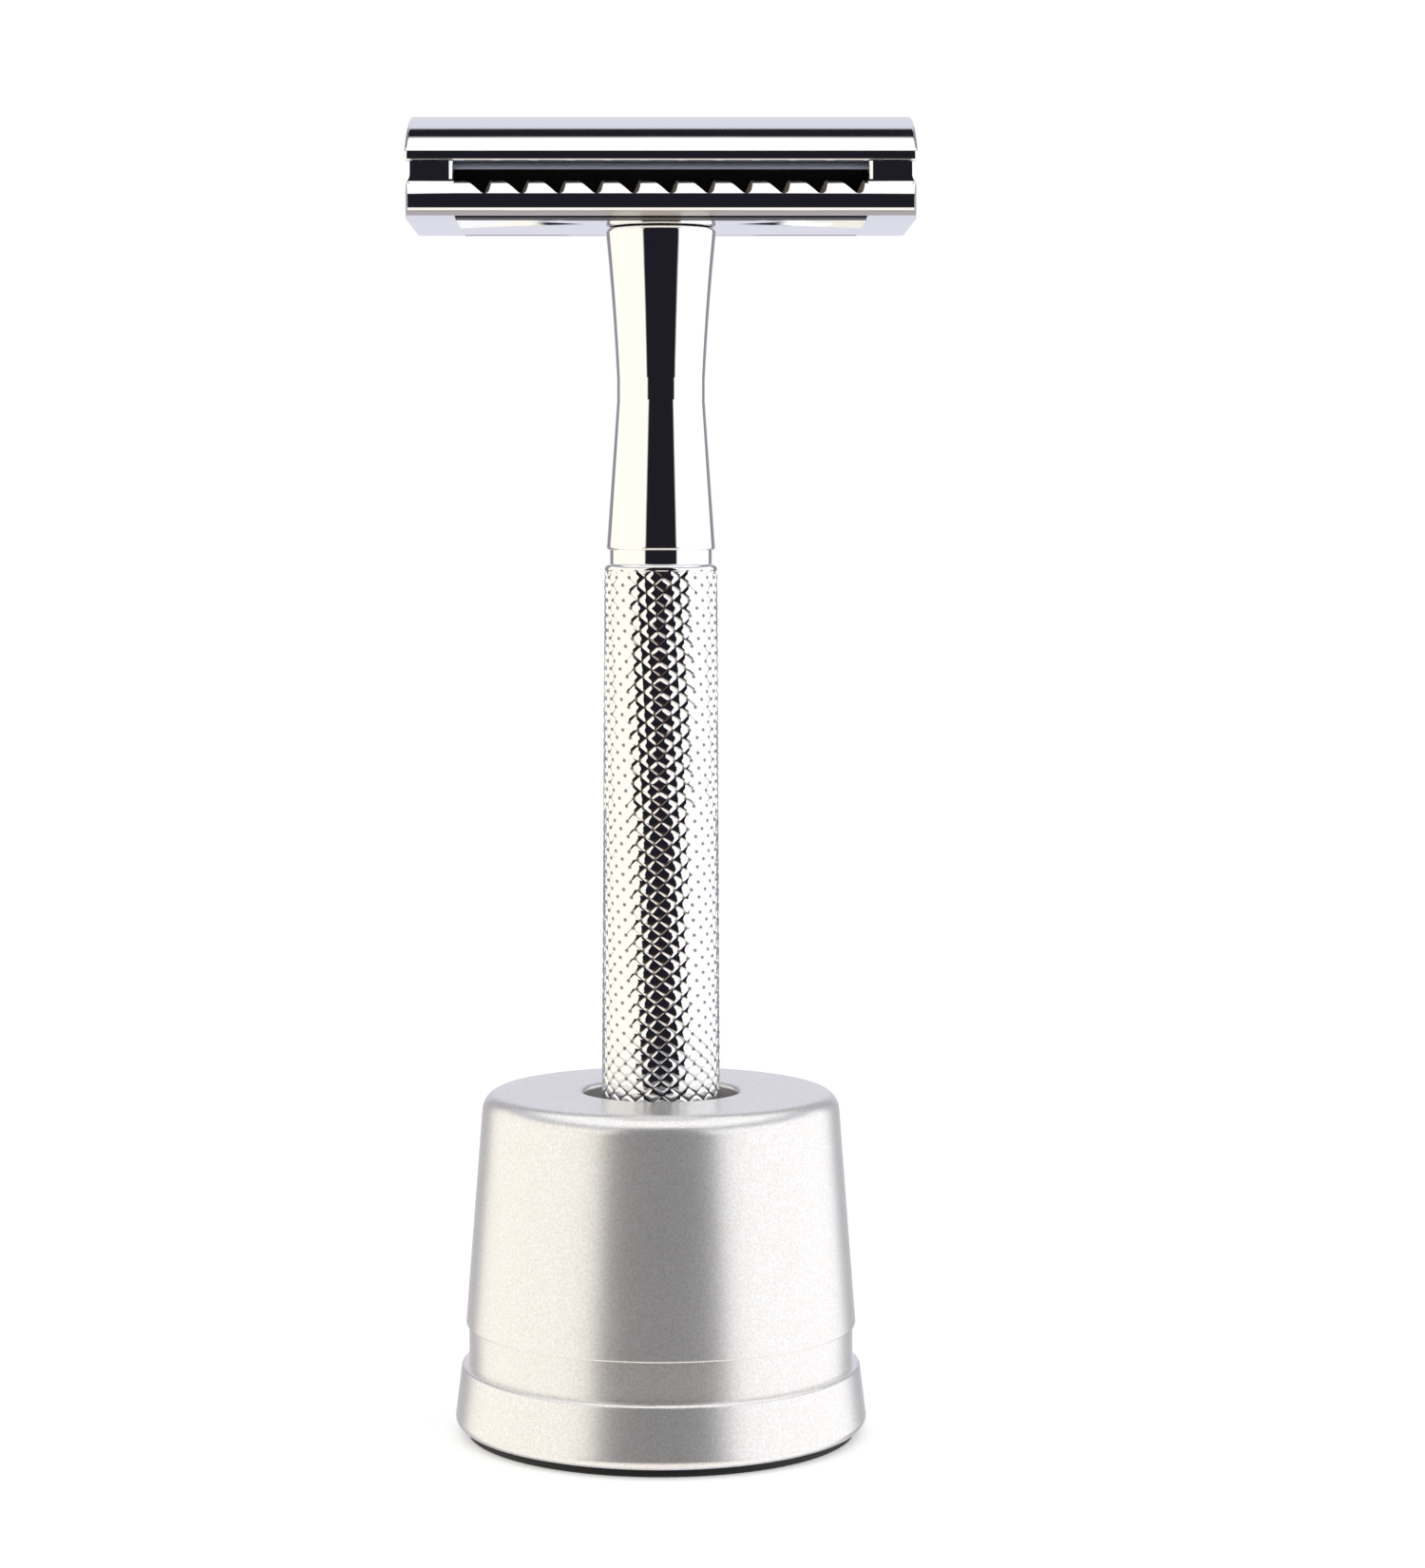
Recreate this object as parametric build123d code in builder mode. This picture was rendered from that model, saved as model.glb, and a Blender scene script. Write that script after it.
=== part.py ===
from build123d import *
import os
from math import cos, radians, sin, sqrt

# A three-piece double-edge safety razor standing in its weighted stand.
# Millimetres. The origin is the centre of the stand's foot, +Z runs up the handle,
# X is the length of the blade and the two shaving edges face -Y and +Y.

os.makedirs("parts", exist_ok=True)

# ---- driving dimensions -------------------------------------------------------------

# stand: a turned aluminium shell round a steel weight
pad_radius, pad_height, pad_edge = 17.0, 0.7, 0.2
shell_foot_radius, shell_foot_edge = 17.98, 0.8
flange_top, flange_top_radius = 6.1, 17.43
band_radius, band_top = 16.8, 9.6          # the plain recessed band above the flange
band_edge = 0.3
cone_foot_radius = 17.07
stand_height, cone_top_radius, cone_top_edge = 29.95, 15.5, 1.7
well_radius, well_edge = 6.8, 0.45          # the well that the handle drops into
well_wall, roof_thickness, shell_wall = 1.85, 4.2, 2.7
base_disc_height, base_disc_radius, disc_edge = 1.2, 16.1, 0.2
cushion_height, cushion_edge = 2.1, 0.3
cavity_taper = 1.0                          # the cavity is wider than its roof's wall asks for
ballast_room, ballast_edge = 0.15, 0.5
part_gap = 0.05                             # between faces that rest on each other

# handle: end knob, knurled grip, spacer ring and waisted neck
knob_bottom = pad_height + base_disc_height + cushion_height + part_gap
knob_height, knob_edge, spigot_length = 5.2, 1.6, 5.0
seam_depth, seam_edge = 0.4, 0.25           # shadow line between the knob and the grip
seam_height = 0.5
grip_bottom_radius, grip_top_radius, grip_top_edge = 5.3, 4.92, 0.5
grip_foot_edge, weight_edge, weight_room = 0.3, 0.4, 1.0
grip_top = 75.9
grip_bore_radius, grip_end_wall = 3.5, 9.0
spacer_height, spacer_radius = 1.2, 4.45
neck_foot_radius, neck_waist_radius, neck_top_radius = 4.75, 3.83, 4.82
neck_waist_low, neck_waist_high = 90.0, 91.9
neck_mid, neck_mid_radius = 98.0, 4.21      # the upper cone is slightly hollow
neck_top, neck_top_edge, neck_foot_edge = 104.83, 0.3, 0.2
joining_length, joining_room = 8.0, 0.5     # the stud that joins the neck to the grip
insert_radius, insert_length, insert_depth = 3.3, 10.0, 0.25
stud_room = 2.0                             # empty hole below the insert
fit = 0.02                                  # radial room between pressed pieces

# M5 x 0.8 thread of the clamping stud, drawn as plain cylinders
stud_radius, stud_bottom, stud_point = 2.45, 97.3, 0.5
tapped_radius = stud_radius + 0.05

# head: guard plate, blade and cap
guard_bottom, guard_seat_half_width = 104.88, 5.0
bar_bottom = 105.3                          # the underside rises from its flat seat to the bars
guard_half_length, guard_half_width = 21.65, 12.05
corner_half_length, tab_half_width = 21.1, 5.5   # the ends curve back towards the bars
guard_bar_top, guard_bar_inner = 108.08, 9.9
nose_radius, nose_low, nose_high, bar_edge, end_edge = 2.0, -8, 66, 0.4, 0.4
slot_half_length, slot_inner = 17.3, 7.5    # the lather slot between bar and blade seat
slot_foot_inner, slot_foot_top, slot_slope_top = 9.1, 105.9, 107.4   # it narrows downwards
slot_clearing = 0.1                         # the cut over the bars runs just past the slot
block_top, block_half_length = 109.6, 21.0   # the end blocks over the bars
block_foot, block_edge = 107.6, 0.9
lip_edge = 0.6                              # rounding where a block meets the slot
scallop_count, scallop_pitch, scallop_depth = 11, 3.12, 1.28
scallop_outline = [(-1.0, 1.4), (-0.45, 1.05), (0.5, 0), (1.05, 0), (1.5, 1.0), (1.8, 1.4)]
scallop_skew, scallop_rounding = 15, 0.42     # degrees in plan, and the bottom's radius
scallop_plane, scallop_reach = 11.3, 1.6
rib_half_width, rib_end = 5.0, 0.3
hollow_depth, hollow_start = 0.4, 6.5       # deepest beside the rib, running out at the bars
stud_hole_radius, pin_hole_radius, pin_hole_bottom = 2.75, 1.9, 107.2
lip_room = 0.25                             # from the blade's edge to the bed's end lips
beyond = 12.0                               # how far a cut runs to pass right through

blade_length, blade_edge_length, blade_tab_width = 42.9, 37.3, 14.4
blade_thickness, blade_radius, blade_half_angle = 0.1, 18.1, 35.0
blade_edge_height, blade_bevel = 108.98, 1.5
blade_gap = 0.1                             # from the bent blade to the cap and its seat
blade_slot_length, blade_slot_width = 30.0, 1.9
blade_stud_room, blade_pin_room = 0.6, 0.35
blade_axis = blade_edge_height - blade_radius * cos(radians(blade_half_angle))

cap_half_length, cap_half_width = 21.5, 10.5
cap_crown, cap_crown_radius = 114.4, 16.3
cap_rim_bottom = 109.6
pin_radius, pin_bottom, pin_spacing, pin_point = 1.6, 108.0, 22.0, 0.3
stud_seat_depth = 1.5
cap_grip_half_width = 9.5                   # where the underside presses on the blade
cap_top_rounding, cap_rim_rounding, cap_end_rounding = 0.6, 0.25, 0.3


def corner(profile, across, up):
    """The corner of a profile that lies nearest to a point of its plane."""
    return profile.vertices().sort_by_distance((across, up, 0))[0]


def turned(points, rounding=()):
    """A ring turned about the handle's axis from (radius, height) points."""
    with BuildPart() as ring:
        with BuildSketch(Plane.XZ) as outline:
            with BuildLine():
                Polyline(*points, close=True)
            make_face()
            for across, up, size in rounding:
                fillet(corner(outline, across, up), size)
        revolve(axis=Axis.Z)
    return ring


def finish(part, name):
    part.part.label = name
    export_step(part.part, f"parts/{name}.step")


# ---- stand ----------------------------------------------------------------------------

with BuildPart() as foot_pad:
    with BuildSketch():
        Circle(pad_radius)
    extrude(amount=pad_height)
    fillet(foot_pad.edges().group_by(Axis.Z)[0], pad_edge)
finish(foot_pad, "foot_pad")

disc_top = pad_height + base_disc_height
cavity_top = stand_height - roof_thickness
tube_radius = well_radius + well_wall
cavity_radius = cone_top_radius - shell_wall + cavity_taper
stand_shell = turned(
    [
        (base_disc_radius + fit, pad_height),
        (shell_foot_radius, pad_height),
        (shell_foot_radius, pad_height + shell_foot_edge + part_gap),
        (flange_top_radius, flange_top),
        (band_radius, flange_top),
        (band_radius, band_top),
        (cone_foot_radius, band_top),
        (cone_top_radius, stand_height),
        (well_radius, stand_height),
        (well_radius, disc_top),
        (tube_radius, disc_top),
        (tube_radius, cavity_top),
        (cavity_radius, cavity_top),
        (cavity_radius, disc_top),
        (base_disc_radius + fit, disc_top),
    ],
    [
        (shell_foot_radius, pad_height, shell_foot_edge),
        (flange_top_radius, flange_top, band_edge),
        (cone_foot_radius, band_top, band_edge / 2),
        (cone_top_radius, stand_height, cone_top_edge),
        (well_radius, stand_height, well_edge),
    ],
)
finish(stand_shell, "stand_shell")

with BuildPart() as base_disc:
    with BuildSketch(Plane.XY.offset(pad_height)):
        Circle(base_disc_radius)
    extrude(amount=base_disc_height)
    chamfer(base_disc.edges().group_by(Axis.Z)[-1], disc_edge)
finish(base_disc, "base_disc")

ballast_ring = turned(
    [
        (tube_radius + ballast_room, disc_top),
        (cavity_radius - ballast_room, disc_top),
        (cavity_radius - ballast_room, cavity_top - ballast_room),
        (tube_radius + ballast_room, cavity_top - ballast_room),
    ],
    [(cavity_radius - ballast_room, cavity_top - ballast_room, ballast_edge)],
)
finish(ballast_ring, "ballast_ring")

with BuildPart() as well_cushion:
    with BuildSketch(Plane.XY.offset(disc_top)):
        Circle(well_radius - part_gap)
    extrude(amount=cushion_height)
    fillet(well_cushion.edges().group_by(Axis.Z)[-1], cushion_edge)
finish(well_cushion, "well_cushion")

# ---- handle ---------------------------------------------------------------------------

knob_top = knob_bottom + knob_height
end_knob = turned(
    [
        (0, knob_bottom),
        (grip_bottom_radius, knob_bottom),
        (grip_bottom_radius, knob_top - seam_height),
        (grip_bottom_radius - seam_depth, knob_top - seam_height),
        (grip_bottom_radius - seam_depth, knob_top),
        (grip_bore_radius - fit, knob_top),
        (grip_bore_radius - fit, knob_top + spigot_length),
        (0, knob_top + spigot_length),
    ],
    [
        (grip_bottom_radius, knob_bottom, knob_edge),
        (grip_bottom_radius, knob_top - seam_height, seam_edge),
    ],
)
finish(end_knob, "end_knob")

stud_clear = stud_radius + fit
grip_tube = turned(
    [
        (grip_bore_radius, knob_top),
        (grip_bottom_radius, knob_top),
        (grip_top_radius, grip_top),
        (stud_clear, grip_top),
        (stud_clear, grip_top - grip_end_wall),
        (grip_bore_radius, grip_top - grip_end_wall),
    ],
    [(grip_bottom_radius, knob_top, grip_foot_edge), (grip_top_radius, grip_top, grip_top_edge)],
)
finish(grip_tube, "grip_tube")

weight_bottom = knob_top + spigot_length
weight_top = grip_top - grip_end_wall - weight_room
with BuildPart() as grip_weight:
    with BuildSketch(Plane.XY.offset(weight_bottom)):
        Circle(grip_bore_radius - fit)
    extrude(amount=weight_top - weight_bottom)
    chamfer(grip_weight.edges().filter_by(GeomType.CIRCLE), weight_edge)
finish(grip_weight, "grip_weight")

neck_bottom = grip_top + spacer_height
spacer_ring = turned(
    [
        (stud_clear, grip_top),
        (spacer_radius, grip_top),
        (spacer_radius, neck_bottom),
        (stud_clear, neck_bottom),
    ]
)
finish(spacer_ring, "spacer_ring")

with BuildPart() as joining_stud:
    with BuildSketch(Plane.XY.offset(grip_top - joining_length)):
        Circle(stud_radius)
    extrude(amount=2 * joining_length + spacer_height)
    chamfer(joining_stud.edges().filter_by(GeomType.CIRCLE), stud_point)
finish(joining_stud, "joining_stud")

insert_top = neck_top - insert_depth
insert_bottom = insert_top - insert_length
with BuildPart() as neck:
    with BuildSketch(Plane.XZ) as neck_outline:
        with BuildLine():
            Line((0, neck_bottom), (neck_foot_radius, neck_bottom))
            Line((neck_foot_radius, neck_bottom), (neck_waist_radius, neck_waist_low))
            Line((neck_waist_radius, neck_waist_low), (neck_waist_radius, neck_waist_high))
            ThreePointArc(
                (neck_waist_radius, neck_waist_high),
                (neck_mid_radius, neck_mid),
                (neck_top_radius, neck_top),
            )
            Line((neck_top_radius, neck_top), (0, neck_top))
            Line((0, neck_top), (0, neck_bottom))
        make_face()
        fillet(corner(neck_outline, neck_top_radius, neck_top), neck_top_edge)
        fillet(corner(neck_outline, neck_foot_radius, neck_bottom), neck_foot_edge)
    revolve(axis=Axis.Z)
    with BuildSketch(Plane.XY.offset(neck_bottom)):
        Circle(stud_clear)
    extrude(amount=joining_length + joining_room, mode=Mode.SUBTRACT)
    with BuildSketch(Plane.XY.offset(insert_bottom)):
        Circle(insert_radius + fit)
    extrude(until=Until.LAST, mode=Mode.SUBTRACT)
    with BuildSketch(Plane.XY.offset(insert_bottom - stud_room)):
        Circle(tapped_radius)
    extrude(amount=stud_room, mode=Mode.SUBTRACT)
finish(neck, "neck")

thread_insert = turned(
    [
        (tapped_radius, insert_bottom),
        (insert_radius, insert_bottom),
        (insert_radius, insert_top),
        (tapped_radius, insert_top),
    ]
)
finish(thread_insert, "thread_insert")

# ---- head -----------------------------------------------------------------------------

seat_radius = blade_radius - blade_thickness - blade_gap
blade_edge_half_width = (blade_radius - blade_thickness / 2) * sin(radians(blade_half_angle))
cap_hollow_radius = blade_radius + blade_gap
cap_grip_height = blade_axis + sqrt(cap_hollow_radius**2 - cap_grip_half_width**2)
cap_edge_height = cap_crown - cap_crown_radius + sqrt(cap_crown_radius**2 - cap_half_width**2)
stud_top = blade_axis + cap_hollow_radius + stud_seat_depth
lip_inner = blade_edge_half_width + lip_room


def seat_height(across):
    """Height of the blade's bed at a distance from the middle."""
    return blade_axis + sqrt(seat_radius**2 - across**2)


def bent(radius, angle):
    """A point of the bent blade's section, by its angle from the middle in degrees."""
    return radius * sin(radians(angle)), blade_axis + radius * cos(radians(angle))


def nose(angle):
    """A point of the bar's rounded front, by its angle above the horizontal in degrees."""
    return (
        guard_half_width - nose_radius + nose_radius * cos(radians(angle)),
        guard_bar_top - nose_radius + nose_radius * sin(radians(angle)),
    )


def mirrored(side, point):
    return side * point[0], point[1]


# the hollows under the plate, on both sides of a rib as wide as the neck that comes to a
# point at each end: they are deepest at their ends, and run out towards neck and bars
with BuildPart() as hollows:
    with BuildSketch(Plane.XZ):
        for side in (-1, 1):
            Polygon(
                (side * hollow_start, guard_bottom),
                (side * slot_half_length, guard_bottom),
                (side * slot_half_length, guard_bottom + hollow_depth),
                align=None,
            )
    extrude(amount=guard_bar_inner, both=True)
    with BuildSketch(Plane.YZ):
        Polygon(
            (-slot_foot_inner, guard_bottom),
            (slot_foot_inner, guard_bottom),
            (0, guard_bottom + hollow_depth),
            align=None,
        )
    extrude(amount=slot_half_length, both=True, mode=Mode.INTERSECT)
    with BuildSketch(Plane.XY.offset(guard_bottom)):
        with BuildLine():
            for side in (-1, 1):
                ThreePointArc(
                    (-slot_half_length, side * rib_end),
                    (0, side * rib_half_width),
                    (slot_half_length, side * rib_end),
                )
                Line((side * slot_half_length, -rib_end), (side * slot_half_length, rib_end))
        make_face()
    extrude(amount=hollow_depth, mode=Mode.SUBTRACT)

with BuildPart() as base_plate:
    # outline of the solid ends, with a flat seat for the neck underneath and the bed that
    # bends the blade between two lips on top
    with BuildSketch(Plane.YZ):
        with BuildLine():
            for side in (-1, 1):
                foot = (nose(nose_low)[0] - bar_edge, bar_bottom)
                Line((0, guard_bottom), (side * guard_seat_half_width, guard_bottom))
                TangentArc(
                    (side * guard_seat_half_width, guard_bottom),
                    mirrored(side, foot),
                    tangent=(side, 0),
                )
                ThreePointArc(
                    mirrored(side, foot),
                    (side * (foot[0] + 0.75 * bar_edge), bar_bottom + 0.3 * bar_edge),
                    mirrored(side, nose(nose_low)),
                )
                ThreePointArc(
                    mirrored(side, nose(nose_low)),
                    mirrored(side, nose(0)),
                    mirrored(side, nose(nose_high)),
                )
                Polyline(
                    mirrored(side, nose(nose_high)),
                    (side * nose(nose_high)[0], block_top),
                    (side * lip_inner, block_top),
                    (side * lip_inner, seat_height(lip_inner)),
                )
            ThreePointArc(
                (-lip_inner, seat_height(lip_inner)),
                (0, seat_height(0)),
                (lip_inner, seat_height(lip_inner)),
            )
        make_face()
    extrude(amount=guard_half_length, both=True)
    # seen from above, the ends are straight in the middle and curve back to the bars
    with BuildSketch(Plane.XY.offset(guard_bottom)):
        with BuildLine():
            for side in (-1, 1):
                Line(
                    (side * guard_half_length, -tab_half_width),
                    (side * guard_half_length, tab_half_width),
                )
                Line(
                    (-corner_half_length, side * guard_half_width),
                    (corner_half_length, side * guard_half_width),
                )
                for end in (-1, 1):
                    TangentArc(
                        (end * guard_half_length, side * tab_half_width),
                        (end * corner_half_length, side * guard_half_width),
                        tangent=(0, side),
                    )
        make_face()
    extrude(amount=beyond, mode=Mode.INTERSECT)
    with BuildSketch(Plane.XZ) as side_outline:
        with Locations((0, guard_bottom)):
            Rectangle(2 * guard_half_length, 2 * beyond, align=(Align.CENTER, Align.MIN))
        fillet(side_outline.vertices().group_by(Axis.Y)[0], end_edge)
    extrude(amount=guard_half_width, both=True, mode=Mode.INTERSECT)
    # the blocks over the bars are shorter than the plate
    with BuildSketch(Plane.XZ) as block_ends:
        with GridLocations(2 * (block_half_length + beyond / 2), 1, 2, 1):
            with Locations((0, block_foot + beyond / 2)):
                Rectangle(beyond, beyond)
        inner_corners = block_ends.vertices().group_by(Axis.Y)[0].sort_by_distance((0, block_foot, 0))
        fillet(inner_corners[:2], block_edge)
    extrude(amount=guard_half_width, both=True, mode=Mode.SUBTRACT)
    # lather slots, with the bars' tops cleared between the solid ends
    clearing_inner, clearing_top = slot_inner + slot_clearing, guard_bottom + beyond
    with BuildSketch(Plane.YZ):
        for side in (-1, 1):
            Polygon(
                (side * guard_bar_inner, guard_bottom),
                (side * slot_foot_inner, guard_bottom),
                (side * slot_foot_inner, slot_foot_top),
                (side * slot_inner, slot_slope_top),
                (side * slot_inner, clearing_top),
                (side * guard_bar_inner, clearing_top),
                align=None,
            )
    extrude(amount=slot_half_length, both=True, mode=Mode.SUBTRACT)
    clearing_outer = guard_half_width + slot_clearing
    with BuildSketch(Plane.YZ):
        with BuildLine():
            for side in (-1, 1):
                Polyline(
                    (side * clearing_inner, clearing_top),
                    (side * clearing_inner, guard_bar_top),
                    mirrored(side, nose(90)),
                )
                ThreePointArc(
                    mirrored(side, nose(90)), mirrored(side, nose(75)), mirrored(side, nose(nose_high))
                )
                Polyline(
                    mirrored(side, nose(nose_high)),
                    (side * clearing_outer, nose(nose_high)[1]),
                    (side * clearing_outer, clearing_top),
                    (side * clearing_inner, clearing_top),
                )
        make_face()
    extrude(amount=slot_half_length, both=True, mode=Mode.SUBTRACT)
    # the blocks' corners beside the slots are rounded
    block_half_width = nose(nose_high)[0]
    with BuildSketch(Plane.XY.offset(guard_bar_top)):
        with GridLocations(2 * slot_half_length + lip_edge, 2 * block_half_width - lip_edge, 2, 2):
            Rectangle(lip_edge, lip_edge)
        with GridLocations(
            2 * (slot_half_length + lip_edge), 2 * (block_half_width - lip_edge), 2, 2
        ):
            Circle(lip_edge, mode=Mode.SUBTRACT)
    extrude(amount=beyond, mode=Mode.SUBTRACT)
    # scallops across the top of each bar, cut askew; the plate looks the same turned half round
    for side in (-1, 1):
        facing = Plane(
            origin=(0, side * scallop_plane, guard_bar_top - scallop_depth),
            x_dir=(-side, 0, 0),
            z_dir=(0, side, 0),
        )
        with BuildSketch(facing) as scallops:
            with GridLocations(scallop_pitch, 1, scallop_count, 1):
                Polygon(*scallop_outline, align=None)
            fillet(scallops.vertices().group_by(Axis.Y)[0], scallop_rounding)
        skewed = (-side * sin(radians(scallop_skew)), side * cos(radians(scallop_skew)), 0)
        extrude(amount=scallop_reach, dir=skewed, both=True, mode=Mode.SUBTRACT)
    add(hollows.part, mode=Mode.SUBTRACT)
    # a through hole for the stud and blind ones for the cap's two pins
    with BuildSketch(Plane.XY.offset(guard_bottom)):
        Circle(stud_hole_radius)
    extrude(amount=beyond, mode=Mode.SUBTRACT)
    with BuildSketch(Plane.XY.offset(pin_hole_bottom)):
        with GridLocations(pin_spacing, 1, 2, 1):
            Circle(pin_hole_radius)
    extrude(amount=beyond, mode=Mode.SUBTRACT)
finish(base_plate, "base_plate")

with BuildPart() as blade:
    # a thin strip, bent over the bed and ground to an edge on both sides
    ground = blade_half_angle - blade_bevel
    with BuildSketch(Plane.YZ):
        with BuildLine():
            ThreePointArc(
                bent(blade_radius, -ground), bent(blade_radius, 0), bent(blade_radius, ground)
            )
            Polyline(
                bent(blade_radius, ground),
                bent(blade_radius - blade_thickness / 2, blade_half_angle),
                bent(blade_radius - blade_thickness, ground),
            )
            ThreePointArc(
                bent(blade_radius - blade_thickness, ground),
                bent(blade_radius - blade_thickness, 0),
                bent(blade_radius - blade_thickness, -ground),
            )
            Polyline(
                bent(blade_radius - blade_thickness, -ground),
                bent(blade_radius - blade_thickness / 2, -blade_half_angle),
                bent(blade_radius, -ground),
            )
        make_face()
    extrude(amount=blade_length / 2, both=True)
    # corners cut back to the end tabs, and the opening for the stud and the pins
    with BuildSketch(Plane.XY.offset(guard_bottom)):
        with GridLocations(blade_edge_length + beyond, 2 * blade_tab_width, 2, 2):
            Rectangle(beyond, blade_tab_width)
        SlotCenterToCenter(blade_slot_length, blade_slot_width)
        Circle(stud_radius + blade_stud_room)
        with GridLocations(pin_spacing, 1, 2, 1):
            Circle(pin_radius + blade_pin_room)
    extrude(amount=beyond, mode=Mode.SUBTRACT)
finish(blade, "blade")

with BuildPart() as cap:
    with BuildSketch(Plane.YZ) as cap_outline:
        with BuildLine():
            ThreePointArc(
                (-cap_half_width, cap_edge_height), (0, cap_crown), (cap_half_width, cap_edge_height)
            )
            Polyline(
                (cap_half_width, cap_edge_height),
                (cap_half_width, cap_rim_bottom),
                (cap_grip_half_width, cap_grip_height),
            )
            ThreePointArc(
                (cap_grip_half_width, cap_grip_height),
                (0, blade_axis + cap_hollow_radius),
                (-cap_grip_half_width, cap_grip_height),
            )
            Polyline(
                (-cap_grip_half_width, cap_grip_height),
                (-cap_half_width, cap_rim_bottom),
                (-cap_half_width, cap_edge_height),
            )
        make_face()
        for side in (-1, 1):
            fillet(corner(cap_outline, side * cap_half_width, cap_edge_height), cap_top_rounding)
            fillet(corner(cap_outline, side * cap_half_width, cap_rim_bottom), cap_rim_rounding)
    extrude(amount=cap_half_length, both=True)
    end_faces = cap.faces().filter_by(Axis.X)
    fillet(end_faces.edges(), cap_end_rounding)
    # pins that line up the blade and the guard plate
    with BuildSketch(Plane.XY.offset(pin_bottom)):
        with GridLocations(pin_spacing, 1, 2, 1):
            Circle(pin_radius)
    extrude(until=Until.NEXT)
    chamfer(cap.edges().group_by(Axis.Z)[0], pin_point)
    # seat of the clamping stud
    with BuildSketch(Plane.XY.offset(pin_bottom)):
        Circle(stud_clear)
    extrude(amount=stud_top - pin_bottom, mode=Mode.SUBTRACT)
finish(cap, "cap")

with BuildPart() as cap_stud:
    with BuildSketch(Plane.XY.offset(stud_bottom)):
        Circle(stud_radius)
    extrude(amount=stud_top - stud_bottom)
    chamfer(cap_stud.edges().group_by(Axis.Z)[0], stud_point)
finish(cap_stud, "cap_stud")
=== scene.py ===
import bpy
from math import cos, pi, radians, sin
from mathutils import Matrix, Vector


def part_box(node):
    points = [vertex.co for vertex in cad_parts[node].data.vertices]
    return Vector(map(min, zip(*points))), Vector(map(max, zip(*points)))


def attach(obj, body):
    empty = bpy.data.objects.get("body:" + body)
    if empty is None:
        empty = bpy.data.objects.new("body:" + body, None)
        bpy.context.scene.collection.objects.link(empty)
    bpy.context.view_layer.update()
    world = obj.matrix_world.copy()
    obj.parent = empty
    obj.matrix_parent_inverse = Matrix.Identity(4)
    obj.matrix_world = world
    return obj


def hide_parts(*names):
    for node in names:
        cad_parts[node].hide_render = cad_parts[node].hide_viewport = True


# Safety razor in its stand. Metres, +Z up, the two shaving edges face -Y and +Y.

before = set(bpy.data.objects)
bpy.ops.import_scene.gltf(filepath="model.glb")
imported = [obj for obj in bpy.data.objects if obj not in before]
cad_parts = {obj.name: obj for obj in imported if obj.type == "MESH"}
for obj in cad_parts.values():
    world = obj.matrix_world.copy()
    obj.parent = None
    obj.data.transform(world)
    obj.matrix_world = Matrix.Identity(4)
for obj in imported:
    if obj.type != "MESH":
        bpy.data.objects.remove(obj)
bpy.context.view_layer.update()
scene = bpy.context.scene
scene.view_settings.view_transform = "Standard"  # keeps a high-key studio white clean
mm = 0.001
print("frame loaded")


def linear(hexColor):
    # sRGB hex to the linear colour that a shader takes
    channels = [int(hexColor[i:i + 2], 16) / 255 for i in (1, 3, 5)]
    return [c / 12.92 if c <= 0.04045 else ((c + 0.055) / 1.055) ** 2.4 for c in channels] + [1]


def addNode(tree, kind, settings=None, sockets=None):
    # settings are the node's own options; a socket takes a number, a hex colour or another output
    node = tree.nodes.new(kind)
    for name, value in (settings or {}).items():
        setattr(node, name, value)
    for name, value in (sockets or {}).items():
        plug(tree, node.inputs[name], value)
    return node


def plug(tree, socket, value):
    if isinstance(value, bpy.types.NodeSocket):
        tree.links.new(value, socket)
    else:
        socket.default_value = linear(value) if isinstance(value, str) else value


def newMaterial(name, shaderSockets):
    # a material with its Principled shader, and where a point lies on the object in metres
    material = bpy.data.materials.new(name)
    material.use_nodes = True
    tree = material.node_tree
    shader = tree.nodes["Principled BSDF"]
    for socket, value in shaderSockets.items():
        plug(tree, shader.inputs[socket], value)
    return material, tree, shader, addNode(tree, "ShaderNodeTexCoord").outputs["Object"]


def paint(tree, shader, factor, colours=None, roughness=None, bump=None):
    # one pattern drives the shader's colour, its roughness and a bump of (strength, height in mm)
    if colours:
        tone = addNode(
            tree, "ShaderNodeMix", {"data_type": "RGBA"},
            {0: factor, 6: colours[0], 7: colours[1]},
        )
        plug(tree, shader.inputs["Base Color"], tone.outputs[2])
    if roughness:
        gloss = addNode(
            tree, "ShaderNodeMapRange",
            sockets={"To Min": roughness[0], "To Max": roughness[1], "Value": factor},
        )
        plug(tree, shader.inputs["Roughness"], gloss.outputs[0])
    if bump:
        relief = addNode(
            tree, "ShaderNodeBump",
            sockets={"Strength": bump[0], "Distance": bump[1] * mm, "Height": factor},
        )
        plug(tree, shader.inputs["Normal"], relief.outputs[0])


def deselect():
    if bpy.context.object and bpy.context.object.mode == "EDIT":
        bpy.ops.object.mode_set(mode="OBJECT")
    bpy.ops.object.select_all(action="DESELECT")


def selectOnly(piece, *others):
    deselect()
    for item in (piece, *others):
        item.select_set(True)
    bpy.context.view_layer.objects.active = piece


def pickEdges(mesh, wanted):
    # leaves edit mode, selects the edges that wanted() says yes to, and goes back in
    bpy.ops.mesh.select_mode(type="EDGE")
    bpy.ops.mesh.select_all(action="DESELECT")
    bpy.ops.object.mode_set(mode="OBJECT")
    for edge in mesh.edges:
        edge.select = wanted(edge)
    bpy.ops.object.mode_set(mode="EDIT")


def applyModifier(piece, name, kind, **settings):
    modifier = piece.modifiers.new(name, kind)
    for key, value in settings.items():
        setattr(modifier, key, value)
    bpy.context.view_layer.objects.active = piece
    bpy.ops.object.modifier_apply(modifier=modifier.name)


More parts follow.
